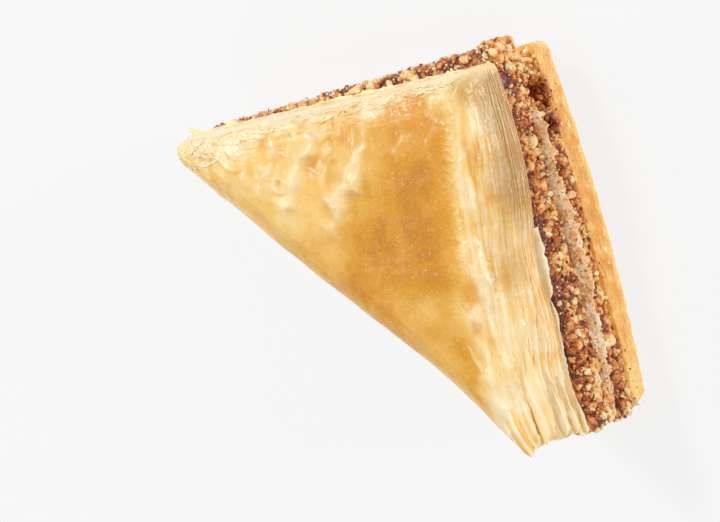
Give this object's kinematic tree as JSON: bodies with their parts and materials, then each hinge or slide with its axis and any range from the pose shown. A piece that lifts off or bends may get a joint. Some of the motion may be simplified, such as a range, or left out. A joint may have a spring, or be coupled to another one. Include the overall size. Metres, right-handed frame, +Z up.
{
  "type": "baklava piece",
  "caption": "Triangular piece of layered baklava: thin phyllo base, chopped nut fillings parted by a soft phyllo layer, and a glazed, puffed stack of phyllo leaves on top.",
  "frame": {"origin": "centre of the bounding box in plan, at the flat base", "axes": "+Z up through the layers; the front cut edge runs along X and faces -Y; the side cut edge faces +X; the hypotenuse faces -X and +Y"},
  "size_m": [0.066, 0.0686, 0.0287],
  "materials": {
    "top_pastry": "golden phyllo glazed with syrup, pale at the leaf edges",
    "nut_filling": "finely chopped nut with brown skins, moist with syrup",
    "middle_pastry": "soft pale phyllo between the fillings",
    "bottom_pastry": "syrup-soaked orange-golden phyllo"
  },
  "bodies": {
    "root": {"bottom_phyllo": "bottom_pastry", "lower_filling": "nut_filling", "middle_phyllo": "middle_pastry", "upper_filling": "nut_filling", "top_phyllo": "top_pastry"}
  },
  "joints": []
}
